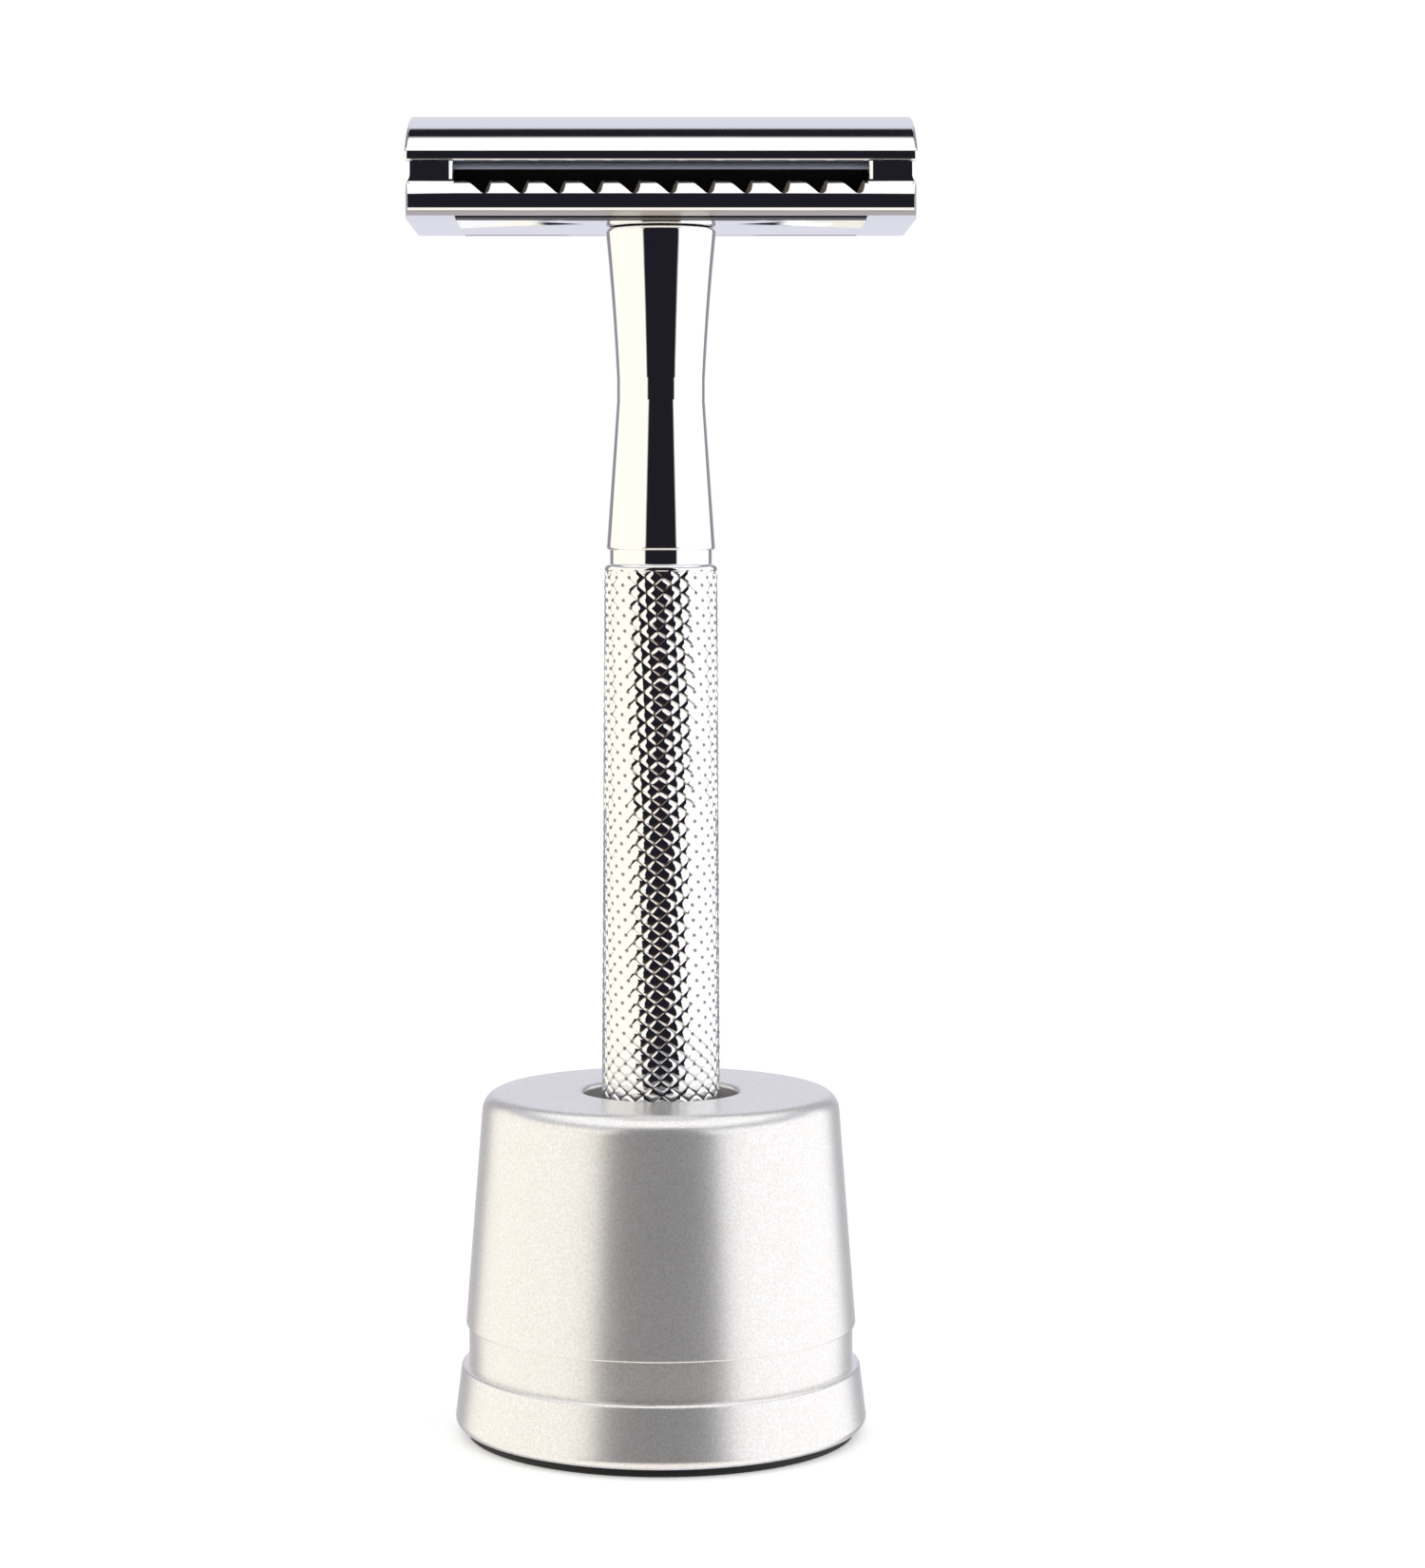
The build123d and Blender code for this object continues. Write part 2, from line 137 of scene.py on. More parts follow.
def closeSeams():
    # merges doubles and points every face outwards, in edit mode
    bpy.ops.mesh.select_all(action="SELECT")
    bpy.ops.mesh.remove_doubles(threshold=1e-4)
    bpy.ops.mesh.normals_make_consistent(inside=False)
    bpy.ops.object.mode_set(mode="OBJECT")


def settle(piece, angle):
    # from millimetres to metres, place into the mesh, smooth shading with crisp edges
    selectOnly(piece)
    bpy.ops.transform.resize(value=(mm, mm, mm), center_override=(0, 0, 0))
    bpy.ops.object.transform_apply(location=True, rotation=True, scale=True)
    bpy.ops.object.shade_smooth_by_angle(angle=radians(angle))


def dress(material, *nodes):
    # a CAD node keeps its shape and gets a better material
    for name in nodes:
        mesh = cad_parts[name].data
        mesh.materials.clear()
        mesh.materials.append(material)


camera = {
    "lens": 83.4,
    "distance": 0.316,
    "height": 0.07735,
    "tilt": 2.62,       # degrees down
    "shift": (0.0329, -0.045),
}

cameraData = bpy.data.cameras.new("camera")
cameraData.lens = camera["lens"]
cameraData.shift_x, cameraData.shift_y = camera["shift"]
cameraObject = bpy.data.objects.new("camera", cameraData)
scene.collection.objects.link(cameraObject)
cameraObject.location = (0, -camera["distance"], camera["height"])
cameraObject.rotation_euler = (radians(90 - camera["tilt"]), 0, 0)
scene.camera = cameraObject
print("camera placed")


# White walls at both sides and overhead, with a dark gap in front where the camera stands.
# Angles are degrees from the front and degrees of height.
studio = {
    "frontDark": 36,        # half width of the dark gap
    "frontLean": 0.36,      # how much it narrows for each degree of height
    "sideEnd": 136,         # where the white side walls end
    "sideShade": (26, 44),  # a shaded strip along them
    "gapEnd": 160,          # where the grey gap behind them ends
    "frontTop": 45,         # where the overhead white starts in front
    "brownTop": (-13, 5),   # brown table edge below this, and its softness
    "frontLow": (-27, 7),   # pale table below this
    "backTop": (47, 60),    # the dark line behind, below the overhead white
    "soft": 2.2,
    "split": 0.05,          # softness between the warm left and the white right
    "white": "#ffffff",
    "cream": "#f9f5ea",
    "table": "#f6efe4",
    "dark": "#1c1b22",
    "brown": "#38271f",
    "grey": "#86868c",
    "shade": "#a3a5ac",
    "lavender": "#cdcdd8",
    "level": 1.22,
    "backdrop": 1.05,       # what the camera sees behind the object
}


def bandsAlong(tree, angle, first, *borders):
    # colours that follow each other as an angle grows; a border is (angle, softness, next colour)
    colour = first
    for at, soft, following in borders:
        edge = addNode(
            tree, "ShaderNodeMapRange", {"interpolation_type": "SMOOTHSTEP"},
            {"From Min": at - soft, "From Max": at + soft, "Value": angle},
        )
        blend = addNode(
            tree, "ShaderNodeMix", {"data_type": "RGBA"},
            {0: edge.outputs[0], 6: colour, 7: following},
        )
        colour = blend.outputs[2]
    return colour


def lightStudio():
    world = bpy.data.worlds.new("studio")
    scene.world = world
    world.use_nodes = True
    tree = world.node_tree
    tree.nodes.clear()
    direction = addNode(tree, "ShaderNodeTexCoord").outputs["Generated"]
    axes = addNode(tree, "ShaderNodeSeparateXYZ", sockets={"Vector": direction})
    towards = addNode(tree, "ShaderNodeMath", {"operation": "MULTIPLY"}, {0: axes.outputs["Y"], 1: -1})
    azimuth = addNode(
        tree, "ShaderNodeMath", {"operation": "ARCTAN2"},
        {0: axes.outputs["X"], 1: towards.outputs[0]},
    )
    for operation in ("ABSOLUTE", "DEGREES"):
        azimuth = addNode(tree, "ShaderNodeMath", {"operation": operation}, {0: azimuth.outputs[0]})
    height = addNode(tree, "ShaderNodeMath", {"operation": "ARCSINE"}, {0: axes.outputs["Z"]})
    height = addNode(tree, "ShaderNodeMath", {"operation": "DEGREES"}, {0: height.outputs[0]})
    leaning = addNode(
        tree, "ShaderNodeMath", {"operation": "MULTIPLY_ADD"},
        {0: height.outputs[0], 1: studio["frontLean"], 2: azimuth.outputs[0]},
    )
    around, up = azimuth.outputs[0], height.outputs[0]
    soft, white, dark = studio["soft"], studio["white"], studio["dark"]
    darkFrom, whiteFrom = studio["backTop"]
    shadeFrom, shadeTo = studio["sideShade"]
    walls = bandsAlong(tree, axes.outputs["X"], studio["cream"], (0, studio["split"], white))
    walls = bandsAlong(tree, up, walls, (shadeFrom, soft, studio["shade"]), (shadeTo, soft, white))
    front = bandsAlong(
        tree, up, studio["table"], (*studio["frontLow"], studio["brown"]),
        (*studio["brownTop"], dark), (studio["frontTop"], soft, white),
    )
    gap = bandsAlong(tree, up, studio["grey"], (whiteFrom, soft, white))
    back = bandsAlong(tree, up, studio["lavender"], (darkFrom, soft, dark), (whiteFrom, soft, white))
    sky = bandsAlong(tree, leaning.outputs[0], front, (studio["frontDark"], soft, walls))
    sky = bandsAlong(tree, around, sky, (studio["sideEnd"], soft, gap), (studio["gapEnd"], soft, back))
    seen = addNode(tree, "ShaderNodeLightPath").outputs["Is Camera Ray"]
    room = addNode(tree, "ShaderNodeBackground", sockets={"Strength": studio["level"], "Color": sky})
    backdrop = addNode(
        tree, "ShaderNodeBackground", sockets={"Color": white, "Strength": studio["backdrop"]},
    )
    choice = addNode(
        tree, "ShaderNodeMixShader", sockets={0: seen, 1: room.outputs[0], 2: backdrop.outputs[0]},
    )
    addNode(tree, "ShaderNodeOutputWorld", sockets={"Surface": choice.outputs[0]})


lightStudio()
print("studio lit")


floorSize = {
    "radius": 0.9,
    "sides": 96,
    "fibre": 1.1,       # paper fibre clumps, mm
    "tones": ("#fafafa", "#ffffff"),
    "glow": 0.3,
}


def layPaper():
    # uncoated white paper: matt, with hardly visible fibre clumps
    deselect()
    bpy.ops.mesh.primitive_circle_add(
        vertices=floorSize["sides"], radius=floorSize["radius"], fill_type="NGON",
    )
    floor = bpy.context.object
    floor.name = "floor"
    floor.visible_glossy = False   # the chrome reflects the studio round it, as on a raised sheet
    paper, tree, shader, point = newMaterial("white_paper", {
        "Roughness": 0.95, "Emission Color": "#ffffff", "Emission Strength": floorSize["glow"],
    })
    fibres = addNode(
        tree, "ShaderNodeTexNoise", sockets={"Scale": 1 / (floorSize["fibre"] * mm), "Vector": point},
    )
    paint(tree, shader, fibres.outputs["Fac"], floorSize["tones"])
    floor.data.materials.append(paper)
    return floor


floor = layPaper()
print("floor laid")


chromeFinish = {
    "colour": "#f4f4f5",
    "haze": 4,                  # size of the hazy patches, mm
    "roughness": (0.025, 0.075),
    "wave": 6,                  # length of the buffing waves, mm
    "waveBump": (0.05, 0.03),   # strength and height, mm
    "slot": "#33312f",          # painted shade: the chrome's colour darkened inside the slots
    "scallopShade": "#9c938b",       # painted shade: a grey-brown in the scallops of the guard
    "scallopMetal": 0.3,
    "scallopDull": 0.6,         # how dull a scallop is beside a slot
    "unbuffed": 0.4,            # roughness that a slot has on top
}


def platedChrome():
    # chrome plating buffed to a mirror: bright, with faint waves and a slight haze
    material, tree, shader, point = newMaterial(
        "polished_chrome_plating", {"Base Color": chromeFinish["colour"], "Metallic": 1},
    )
    haze = addNode(
        tree, "ShaderNodeTexNoise",
        sockets={"Scale": 1 / (chromeFinish["haze"] * mm), "Detail": 4, "Vector": point},
    )
    paint(tree, shader, haze.outputs["Fac"], roughness=chromeFinish["roughness"])
    waves = addNode(
        tree, "ShaderNodeTexNoise",
        sockets={"Scale": 1 / (chromeFinish["wave"] * mm), "Detail": 1, "Vector": point},
    )
    paint(tree, shader, waves.outputs["Fac"], bump=chromeFinish["waveBump"])
    return material


plateSize = {
    "slot": (7.3, 9.98),        # lather slots, from the middle line, mm as all sizes here
    "slotHalfLength": 17.32,
    "noseBack": 2.0,            # middle of the bar's rounded nose, behind its edge
    "noseHeight": 106.08,
    "scallopRadius": 1.95,      # what lies deeper than this in the nose is a scallop
}


def castPlateChrome():
    # the guard plate: buffed chrome outside, but duller inside its slots and scallops, where no
    # buffing wheel reaches, and darker there in colour, which is painted shade
    plate = chrome.copy()
    plate.name = "chrome_over_zinc_casting"
    tree = plate.node_tree
    shader = tree.nodes["Principled BSDF"]
    point = addNode(tree, "ShaderNodeTexCoord").outputs["Object"]
    axes = addNode(tree, "ShaderNodeSeparateXYZ", sockets={"Vector": point})
    along, across = (
        addNode(tree, "ShaderNodeMath", {"operation": "ABSOLUTE"}, {0: axes.outputs[axis]}).outputs[0]
        for axis in ("X", "Y")
    )
    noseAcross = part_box("base_plate")[1].y - plateSize["noseBack"] * mm
    inner, outer = plateSize["slot"]
    section = addNode(
        tree, "ShaderNodeCombineXYZ", sockets={"Y": across, "Z": axes.outputs["Z"]},
    )
    fromNose = addNode(
        tree, "ShaderNodeVectorMath", {"operation": "DISTANCE"},
        {0: section.outputs[0], 1: (0, noseAcross, plateSize["noseHeight"] * mm)},
    )
    # each hollow is where two conditions hold: an operation, a source and its limits
    hollows = {
        "slots": (
            ("COMPARE", across, (inner + outer) / 2 * mm, (outer - inner) / 2 * mm),
            ("LESS_THAN", along, plateSize["slotHalfLength"] * mm),
        ),
        "scallops": (
            ("LESS_THAN", fromNose.outputs["Value"], plateSize["scallopRadius"] * mm),
            ("GREATER_THAN", across, noseAcross),
        ),
    }
    inside = {}
    for name, conditions in hollows.items():
        holds = [
            addNode(tree, "ShaderNodeMath", {"operation": operation}, dict(enumerate(values))).outputs[0]
            for operation, *values in conditions
        ]
        both = addNode(tree, "ShaderNodeMath", {"operation": "MULTIPLY"}, {0: holds[0], 1: holds[1]})
        inside[name] = both.outputs[0]
    # painted shade: the slots' colour is darkened, then the scallops' is set grey-brown, where the real
    # plate lies in shadow
    slotShade = addNode(
        tree, "ShaderNodeMix", {"data_type": "RGBA"},
        {0: inside["slots"], 6: chromeFinish["colour"], 7: chromeFinish["slot"]},
    )
    paint(tree, shader, inside["scallops"], (slotShade.outputs[2], chromeFinish["scallopShade"]))
    metal = addNode(
        tree, "ShaderNodeMapRange",
        sockets={"To Min": 1, "To Max": chromeFinish["scallopMetal"], "Value": inside["scallops"]},
    )
    plug(tree, shader.inputs["Metallic"], metal.outputs[0])
    dull = addNode(
        tree, "ShaderNodeMath", {"operation": "MULTIPLY_ADD", "use_clamp": True},
        {0: inside["scallops"], 1: chromeFinish["scallopDull"], 2: inside["slots"]},
    )
    buffed = shader.inputs["Roughness"].links[0].from_socket
    rougher = addNode(
        tree, "ShaderNodeMath", {"operation": "MULTIPLY_ADD"},
        {0: dull.outputs[0], 1: chromeFinish["unbuffed"], 2: buffed},
    )
    plug(tree, shader.inputs["Roughness"], rougher.outputs[0])
    return plate


aluminiumFinish = {
    "metallic": 0.72,           # its anodised skin scatters part of the light
    "grain": 0.19,              # mm; the real bead marks of 0.05 mm are drawn coarser to show
    "grainBump": (0.35, 0.012),
    "grainContrast": 0.7,       # how strong the grain's finest level is
    "sparkle": (0.3, 0.7),      # part of the grain that runs from dull to bright
    "tones": ("#e6e2e0", "#ffffff"),
    "patch": 8,                 # soft patches of gloss, mm
    "roughness": (0.27, 0.33),
}


def blastedAluminium():
    # bead-blasted and anodised aluminium: a pearl glow with fine sparkling grain
    material, tree, shader, point = newMaterial(
        "bead_blasted_aluminium", {"Metallic": aluminiumFinish["metallic"]},
    )
    grain = addNode(
        tree, "ShaderNodeTexNoise",
        sockets={
            "Scale": 1 / (aluminiumFinish["grain"] * mm), "Detail": 2,
            "Roughness": aluminiumFinish["grainContrast"], "Vector": point,
        },
    )
    dullest, brightest = aluminiumFinish["sparkle"]
    sparkle = addNode(
        tree, "ShaderNodeMapRange",
        sockets={"From Min": dullest, "From Max": brightest, "Value": grain.outputs["Fac"]},
    )
    patches = addNode(
        tree, "ShaderNodeTexNoise",
        sockets={"Scale": 1 / (aluminiumFinish["patch"] * mm), "Detail": 3, "Vector": point},
    )
    paint(tree, shader, sparkle.outputs[0], aluminiumFinish["tones"])
    paint(tree, shader, patches.outputs["Fac"], roughness=aluminiumFinish["roughness"])
    paint(tree, shader, grain.outputs["Fac"], bump=aluminiumFinish["grainBump"])
    return material


metalFinish = {
    # hardened stainless strip: bluish grey, with a soft sheen from fine grinding lines
    "ground_blade_steel": {
        "metallic": 0.6,
        "mark": 1.5,                # length of a tool mark, mm
        "finer": (1, 25, 25),       # how much finer the marks are along each axis
        "tones": ("#b4bccb", "#d3dae6"),
        "roughness": (0.3, 0.45),
    },
    # plain steel off the lathe: grey, with fine rings
    "plain_turned_steel": {
        "metallic": 1, "mark": 8, "finer": (1, 1, 40),
        "tones": ("#8d8c8a", "#a7a6a4"), "roughness": (0.3, 0.45),
    },
    # brass off the lathe: warm yellow, with fine rings
    "turned_brass": {
        "metallic": 1, "mark": 8, "finer": (1, 1, 40),
        "tones": ("#b9954c", "#cfae68"), "roughness": (0.25, 0.4),
    },
    # a plated thread: pale grey and fairly bright
    "plated_thread_steel": {
        "metallic": 1, "mark": 8, "finer": (1, 1, 40),
        "tones": ("#c9c9cc", "#e2e2e4"), "roughness": (0.16, 0.31),
    },
}


def tooledMetal(name):
    # metal with the marks of the tool that made it
    finish = metalFinish[name]
    material, tree, shader, point = newMaterial(name, {"Metallic": finish["metallic"]})
    stretched = addNode(tree, "ShaderNodeMapping", sockets={"Scale": finish["finer"], "Vector": point})
    marks = addNode(
        tree, "ShaderNodeTexNoise",
        sockets={"Scale": 1 / (finish["mark"] * mm), "Detail": 3, "Vector": stretched.outputs[0]},
    )
    paint(tree, shader, marks.outputs["Fac"], finish["tones"], finish["roughness"])
    return material


rubberFinish = {
    "roughness": 0.62,
    "pebbleBump": (0.5, 0.03),      # strength and height, mm
    "black_moulded_rubber": {"pebble": 0.4, "tones": ("#0c0d12", "#16181f")},
    "grey_cushion_rubber": {"pebble": 0.55, "tones": ("#101114", "#1c1d21")},
}


def mouldedRubber(name):
    # moulded rubber: matt and slightly pebbled
    finish = rubberFinish[name]
    material, tree, shader, point = newMaterial(name, {"Roughness": rubberFinish["roughness"]})
    pebbles = addNode(
        tree, "ShaderNodeTexNoise",
        sockets={"Scale": 1 / (finish["pebble"] * mm), "Detail": 2, "Vector": point},
    )
    paint(tree, shader, pebbles.outputs["Fac"], finish["tones"], bump=rubberFinish["pebbleBump"])
    return material


chrome = platedChrome()
dress(chrome, "neck", "spacer_ring", "cap", "end_knob")
dress(castPlateChrome(), "base_plate")
dress(blastedAluminium(), "stand_shell")
dress(tooledMetal("ground_blade_steel"), "blade")
dress(mouldedRubber("black_moulded_rubber"), "foot_pad")
dress(mouldedRubber("grey_cushion_rubber"), "well_cushion")
dress(tooledMetal("plain_turned_steel"), "base_disc", "ballast_ring", "grip_weight", "joining_stud")
dress(tooledMetal("turned_brass"), "thread_insert")
print("materials made")


gripSize = {
    "around": 20,         # diamonds in one turn
    "pitch": 1.3,         # along the grip, mm, as all sizes here
    "topRadius": 4.92,
    "topBand": 0.5,       # plain turned bands left at both ends
    "footBand": 0.6,
    "topEdge": 0.45,      # rounding of the plain bands
    "footEdge": 0.3,
    "bore": 3.5,
    "groove": (0.22, 0.09),   # width and depth of a groove's wall
    "crown": (0.12, 0.016),   # width and depth of a diamond's soft edge
    "pit": (0.06, 0.26),      # core and edge of the painted shade where grooves cross, in groove spacings
    # the grey of the painted shade where grooves cross
    "pitShadeColour": "#6e6e74",
    "twist": -52,         # degrees that the rows wander over the whole length
    "wall": 0.25,         # how far the tube lies below the grooves
    "lap": 0.05,          # how far the plain bands reach over the knurl's ends
    "drawnIn": 0.9,       # how much the knurl's ends are drawn in under the bands
    "sides": 96,
    "sharp": 20,          # edges over this angle stay crisp
}


def knurlLayout():
    # where the knurl runs on the grip, mm
    low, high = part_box("grip_tube")
    bottom, top = low.z / mm, high.z / mm
    knurlBottom, knurlTop = bottom + gripSize["footBand"], top - gripSize["topBand"]
    rows = round((knurlTop - knurlBottom) / gripSize["pitch"])
    return bottom, top, high.x / mm, knurlBottom, knurlTop, rows


def turnedPiece(name, outline, sides):
    # a closed ring, from (radius, height) points that run up the outside and down the bore
    deselect()
    radius, height = outline[0]
    bpy.ops.mesh.primitive_circle_add(
        vertices=sides, radius=radius, fill_type="NOTHING", location=(0, 0, height),
    )
    piece = bpy.context.object
    piece.name = name
    bpy.ops.object.transform_apply(location=True)
    bpy.ops.object.mode_set(mode="EDIT")
    bpy.ops.mesh.select_all(action="SELECT")
    for nextRadius, nextHeight in outline[1:]:
        bpy.ops.mesh.extrude_region_move(TRANSFORM_OT_translate={"value": (0, 0, nextHeight - height)})
        ratio = nextRadius / radius
        bpy.ops.transform.resize(value=(ratio, ratio, 1), center_override=(0, 0, 0))
        radius, height = nextRadius, nextHeight
    closeSeams()
    return piece


def roundedEdge(radius, height, size, up, steps=5):
    # quarter circle at the end of a turned band
    points = []
    for step in range(steps + 1):
        turn = pi / 2 * step / steps
        points.append((radius - size + size * cos(turn), height - up * size + up * size * sin(turn)))
    return points if up > 0 else points[::-1]


def rimEdges(mesh):
    # edges with a face on one side only
    uses = {}
    for face in mesh.polygons:
        for key in face.edge_keys:
            uses[key] = uses.get(key, 0) + 1
    return {edge.index for edge in mesh.edges if uses.get(tuple(sorted(edge.vertices)), 0) == 1}


def knurledGrip():
    bottom, top, bottomRadius, knurlBottom, knurlTop, rows = knurlLayout()
    topRadius, sides = gripSize["topRadius"], gripSize["around"]
    slope = (topRadius - bottomRadius) / (top - bottom)
    length = knurlTop - knurlBottom
    sunk = gripSize["groove"][1] + gripSize["crown"][1]

    def radiusAt(height):
        return bottomRadius + slope * (height - bottom)

    # the knurled jacket: a tapered tube cut into rows, then every square is made a diamond
    deselect()
    bpy.ops.mesh.primitive_cone_add(
        vertices=sides, radius1=radiusAt(knurlBottom) - sunk, radius2=radiusAt(knurlTop) - sunk,
        depth=length, end_fill_type="NOTHING",
    )
    jacket = bpy.context.object
    jacket.name = "knurled_grip"
    mesh = jacket.data
    ends = length / 2 - 0.01         # what lies beyond this height is on a rim
    drawn = gripSize["drawnIn"]

    def heights(edge):
        return [mesh.vertices[index].co.z for index in edge.vertices]

    bpy.ops.object.mode_set(mode="EDIT")
    pickEdges(mesh, lambda edge: abs(heights(edge)[0] - heights(edge)[1]) > ends)
    bpy.ops.mesh.subdivide(number_cuts=rows - 1)
    bpy.ops.mesh.select_all(action="SELECT")
    bpy.ops.object.mode_set(mode="OBJECT")
    corners = len(mesh.vertices)
    bpy.ops.object.mode_set(mode="EDIT")
    bpy.ops.mesh.poke()
    bpy.ops.mesh.select_mode(type="VERT")
    bpy.ops.mesh.select_all(action="DESELECT")
    bpy.ops.object.mode_set(mode="OBJECT")
    for vertex in mesh.vertices:
        vertex.select = vertex.index >= corners
    bpy.ops.object.mode_set(mode="EDIT")
    swell = 1 / cos(pi / sides)      # the new middles lie on the flats, so they move out
    bpy.ops.transform.resize(value=(swell, swell, 1), center_override=(0, 0, 0))
    pickEdges(mesh, lambda edge: max(edge.vertices) < corners and min(map(abs, heights(edge))) < ends)
    bpy.ops.mesh.dissolve_edges(use_verts=False)
    bpy.ops.mesh.select_mode(type="FACE")
    bpy.ops.mesh.select_all(action="SELECT")
    # a groove round each diamond, then the soft edge of its crown
    for width, depth in (gripSize["groove"], gripSize["crown"]):
        bpy.ops.mesh.inset(thickness=width, depth=depth, use_individual=True)
    # both ends are drawn in and joined, so that the jacket closes inside the tube's wall
    for direction in (1, -1):
        bpy.ops.object.mode_set(mode="OBJECT")
        rims = rimEdges(mesh)
        bpy.ops.object.mode_set(mode="EDIT")
        pickEdges(mesh, lambda edge: (
            edge.index in rims and min(height * direction for height in heights(edge)) > ends
        ))
        bpy.ops.mesh.extrude_region_move()
        bpy.ops.transform.resize(value=(drawn, drawn, 1), center_override=(0, 0, 0))
    bpy.ops.object.mode_set(mode="OBJECT")
    rims = rimEdges(mesh)
    bpy.ops.object.mode_set(mode="EDIT")
    pickEdges(mesh, lambda edge: edge.index in rims)
    bpy.ops.mesh.bridge_edge_loops()
    bpy.ops.object.mode_set(mode="OBJECT")
    applyModifier(
        jacket, "wander", "SIMPLE_DEFORM", deform_method="TWIST", deform_axis="Z",
        angle=radians(gripSize["twist"]),
    )
    jacket.location.z = (knurlTop + knurlBottom) / 2
    selectOnly(jacket)
    bpy.ops.object.transform_apply(location=True)

    # the plain tube inside it, whose turned bands stand level with the crowns
    core, lap, bore = radiusAt(knurlTop) - sunk - gripSize["wall"], gripSize["lap"], gripSize["bore"]
    outline = roundedEdge(bottomRadius, bottom, gripSize["footEdge"], -1)
    outline += [(radiusAt(knurlBottom), knurlBottom + lap), (core, knurlBottom + lap)]
    outline += [(core, knurlTop - lap), (radiusAt(knurlTop), knurlTop - lap)]
    outline += roundedEdge(topRadius, top, gripSize["topEdge"], 1)
    outline += [(bore, top), (bore, bottom), outline[0]]
    tube = turnedPiece("grip_core", outline, gripSize["sides"])
    selectOnly(jacket, tube)
    bpy.ops.object.join()
    settle(jacket, gripSize["sharp"])
    return jacket


def knurledChrome():
    # chrome over a rolled knurl: bright crowns, and painted shade, a grey, where the grooves cross
    _, _, _, knurlBottom, knurlTop, rows = knurlLayout()
    foot, length = knurlBottom * mm, (knurlTop - knurlBottom) * mm
    pitch, middle = length / rows, foot + length / 2
    perRadian = gripSize["around"] / (2 * pi)
    perMetre = radians(gripSize["twist"]) / length * perRadian
    finish = chrome.copy()
    finish.name = "chrome_over_rolled_knurl"
    tree = finish.node_tree
    shader = tree.nodes["Principled BSDF"]
    point = addNode(tree, "ShaderNodeTexCoord").outputs["Object"]
    axes = addNode(tree, "ShaderNodeSeparateXYZ", sockets={"Vector": point})
    angle = addNode(
        tree, "ShaderNodeMath", {"operation": "ARCTAN2"},
        {0: axes.outputs["Y"], 1: axes.outputs["X"]},
    )
    offset = addNode(tree, "ShaderNodeCombineXYZ")
    for direction, socket in ((1, "X"), (-1, "Y")):
        # 0 in a groove of this direction, and 0.5 half way to the next one
        rise = direction / pitch - perMetre
        start = perMetre * middle - direction * foot / pitch
        along = addNode(
            tree, "ShaderNodeMath", {"operation": "MULTIPLY_ADD"},
            {0: axes.outputs["Z"], 1: rise, 2: start},
        )
        turn = addNode(
            tree, "ShaderNodeMath", {"operation": "MULTIPLY_ADD"},
            {0: angle.outputs[0], 1: perRadian, 2: along.outputs[0]},
        )
        away = addNode(tree, "ShaderNodeMath", {"operation": "PINGPONG"}, {0: turn.outputs[0], 1: 0.5})
        plug(tree, offset.inputs[socket], away.outputs[0])
    reach = addNode(tree, "ShaderNodeVectorMath", {"operation": "LENGTH"}, {0: offset.outputs[0]})
    pitCore, pitEdge = gripSize["pit"]
    pitShade = addNode(
        tree, "ShaderNodeMapRange", {"interpolation_type": "SMOOTHSTEP"},
        {
            "From Min": pitCore, "From Max": pitEdge, "To Min": 1, "To Max": 0,
            "Value": reach.outputs["Value"],
        },
    )
    knurled = addNode(
        tree, "ShaderNodeMath", {"operation": "COMPARE"},
        {0: axes.outputs["Z"], 1: middle, 2: length / 2},
    )
    # painted shade: grey where the grooves cross, only on the knurled length
    grey = addNode(
        tree, "ShaderNodeMath", {"operation": "MULTIPLY"}, {0: pitShade.outputs[0], 1: knurled.outputs[0]},
    )
    paint(tree, shader, grey.outputs[0], (chromeFinish["colour"], gripSize["pitShadeColour"]))
    return finish


grip = knurledGrip()
grip.data.materials.clear()
grip.data.materials.append(knurledChrome())
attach(grip, "handle")
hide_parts("grip_tube")
print("grip knurled", len(grip.data.polygons), "faces")


studSize = {
    "crest": 2.45,        # M5 x 0.8 thread, mm
    "root": 1.99,
    "pitch": 0.8,
    "flat": 0.1,          # width of the crest
    "point": 0.5,         # the bevel of its free end
    "steps": 32,          # faces in one turn
    "spareTurns": 3,      # cut off at its ends
    "sharp": 25,          # edges over this angle stay crisp
}


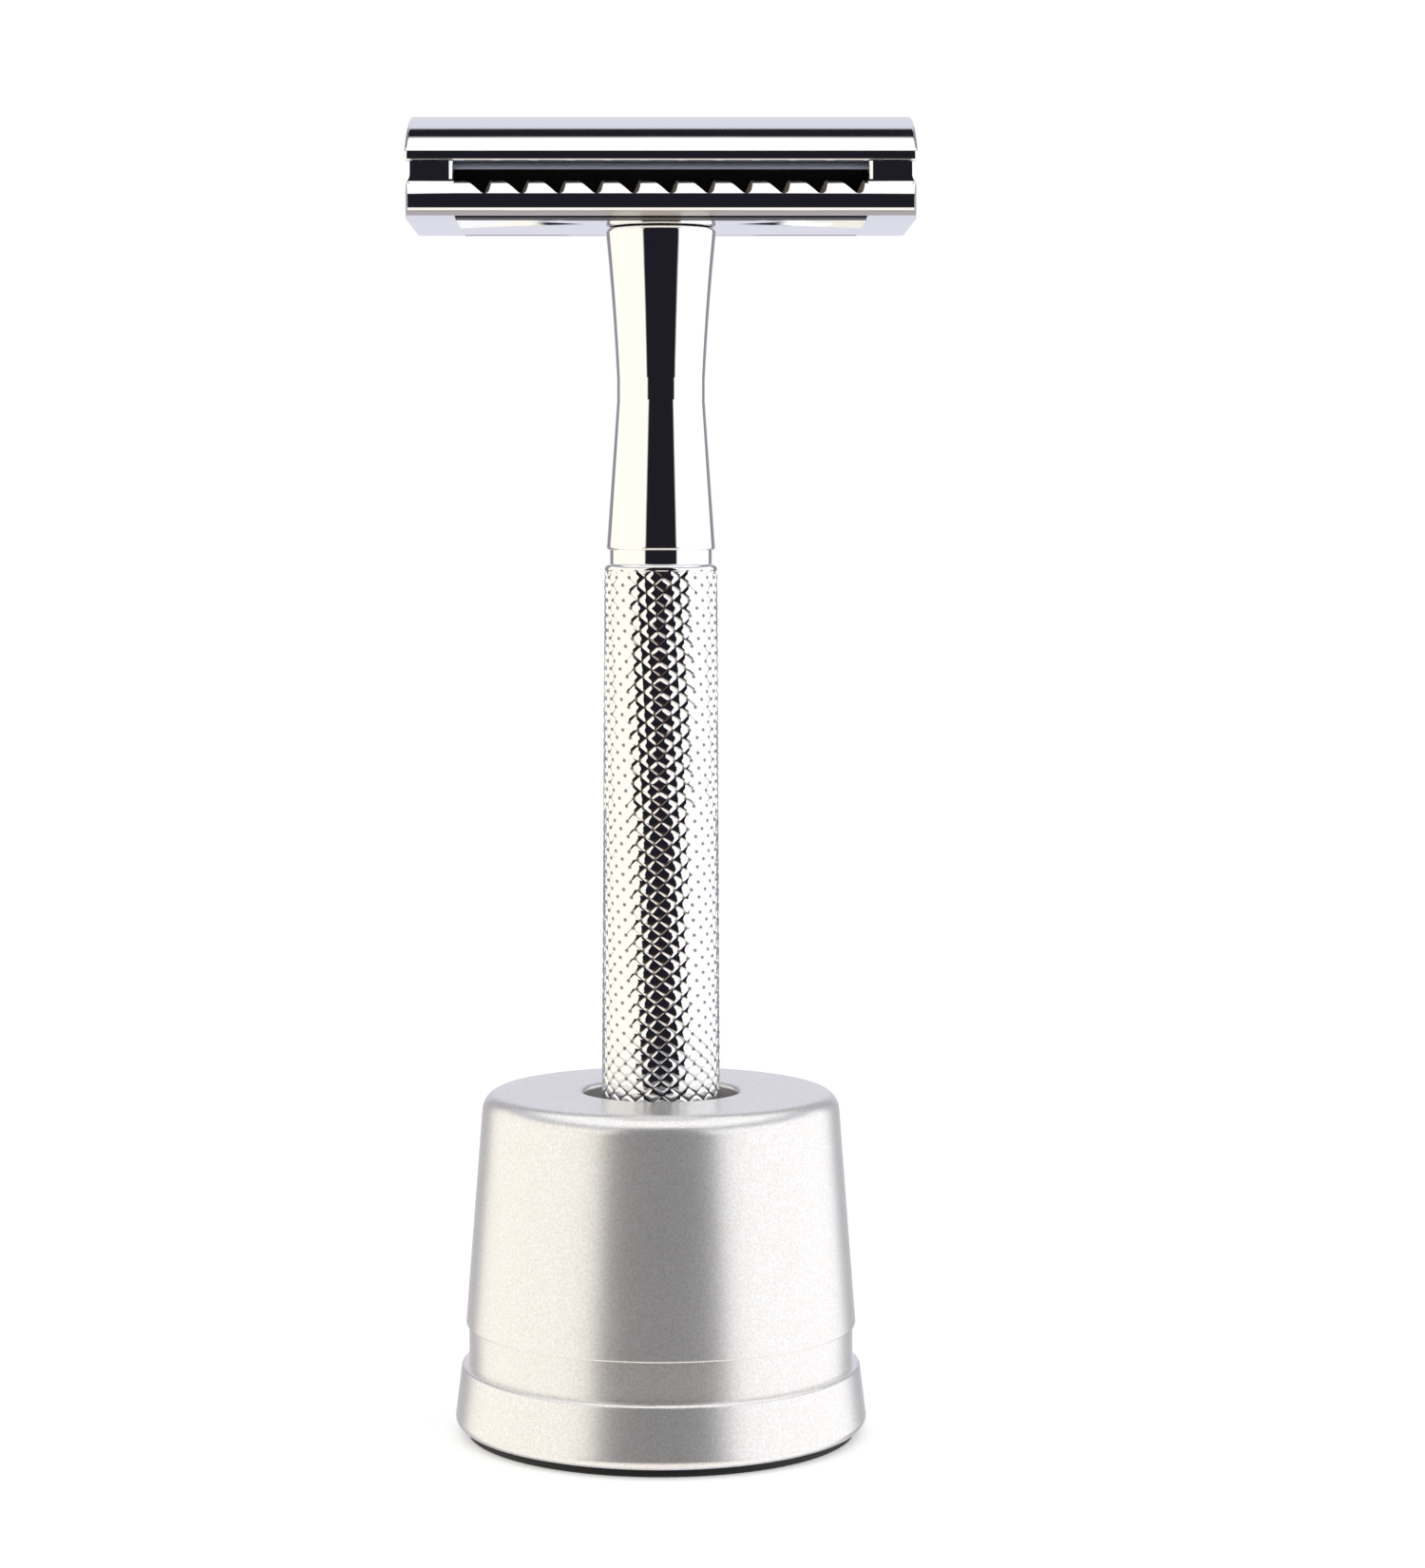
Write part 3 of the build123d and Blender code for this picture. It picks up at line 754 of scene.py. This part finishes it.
def chainOrder(mesh):
    # the vertices of an open chain, from one end to the other
    uses = {}
    for edge in mesh.edges:
        for vertex in edge.vertices:
            uses.setdefault(vertex, []).append(edge)
    current = next(vertex for vertex, edges in uses.items() if len(edges) == 1)
    order, past = [current], None
    while True:
        nextEdges = [edge for edge in uses[current] if edge != past]
        if not nextEdges:
            return [mesh.vertices[index] for index in order]
        past = nextEdges[0]
        current = next(vertex for vertex in past.vertices if vertex != current)
        order.append(current)


def threadedStud():
    low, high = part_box("cap_stud")
    bottom, top = low.z / mm, high.z / mm
    crest, root, pitch, flat = (studSize[name] for name in ("crest", "root", "pitch", "flat"))
    # one tooth of the thread, drawn from a plane's four corners
    deselect()
    bpy.ops.mesh.primitive_plane_add(size=1)
    stud = bpy.context.object
    stud.name = "cap_stud_thread"
    mesh = stud.data
    bpy.ops.object.mode_set(mode="EDIT")
    bpy.ops.mesh.delete(type="ONLY_FACE")
    pickEdges(mesh, lambda edge: edge.index == 0)
    bpy.ops.mesh.delete(type="EDGE")
    bpy.ops.object.mode_set(mode="OBJECT")
    tooth = [(root, 0), (crest, (pitch - flat) / 2), (crest, (pitch + flat) / 2), (root, pitch)]
    for vertex, (across, up) in zip(chainOrder(mesh), tooth):
        vertex.co = (across, 0, up)
    applyModifier(
        stud, "thread", "SCREW", axis="Z", screw_offset=pitch,
        iterations=int((top - bottom) / pitch) + studSize["spareTurns"], steps=studSize["steps"],
        render_steps=studSize["steps"], use_merge_vertices=True, merge_threshold=1e-3,
    )
    stud.location.z = bottom - pitch
    selectOnly(stud)
    bpy.ops.object.transform_apply(location=True)
    # cut to length, with a closed face at each end and a bevelled point
    bpy.ops.object.mode_set(mode="EDIT")
    for height, isPoint in ((bottom, True), (top, False)):
        bpy.ops.mesh.select_all(action="SELECT")
        bpy.ops.mesh.bisect(
            plane_co=(0, 0, height), plane_no=(0, 0, 1), use_fill=True,
            clear_inner=isPoint, clear_outer=not isPoint,
        )
        if isPoint:
            bpy.ops.mesh.extrude_region_move(TRANSFORM_OT_translate={"value": (0, 0, 0)})
            shrink = 1 - studSize["point"] / crest
            bpy.ops.transform.resize(value=(shrink, shrink, 1), center_override=(0, 0, height))
    closeSeams()
    settle(stud, studSize["sharp"])
    return stud


stud = threadedStud()
stud.data.materials.clear()
stud.data.materials.append(tooledMetal("plated_thread_steel"))
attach(stud, "cap")
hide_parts("cap_stud")
print("stud threaded", len(stud.data.polygons), "faces")
